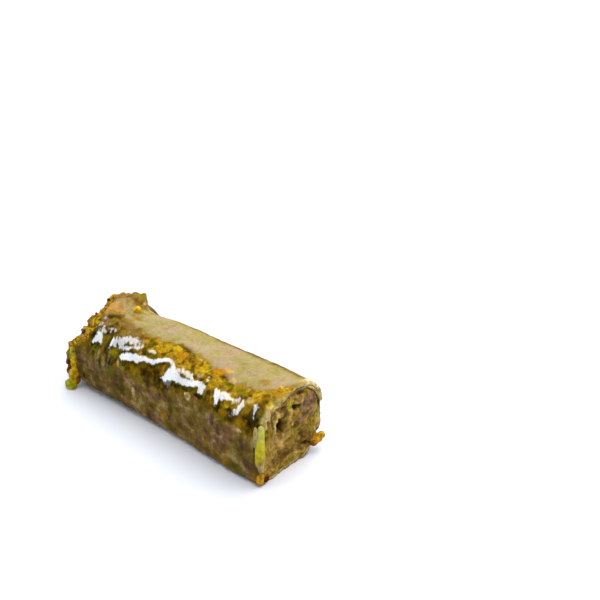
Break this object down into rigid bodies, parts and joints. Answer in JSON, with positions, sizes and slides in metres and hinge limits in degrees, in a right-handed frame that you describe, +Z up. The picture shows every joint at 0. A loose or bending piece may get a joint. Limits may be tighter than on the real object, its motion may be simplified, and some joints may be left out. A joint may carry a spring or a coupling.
{
  "type": "baklava piece",
  "caption": "Short log of pistachio-roll baklava: glazed phyllo wound round a core of ground pistachio, cut across at both ends.",
  "frame": {"origin": "middle of the footprint, on the surface that the roll lies on", "axes": "+X along the roll, from the ragged, lifted end to the cleanly cut end; +Y towards the side of the sheet's seam; +Z up"},
  "size_m": [0.0574, 0.021, 0.0187],
  "materials": {
    "ground_pistachio": null,
    "syrup_glazed_phyllo": null
  },
  "bodies": {
    "root": {"pistachio_filling": "ground_pistachio", "phyllo_sheet": "syrup_glazed_phyllo"}
  },
  "joints": []
}
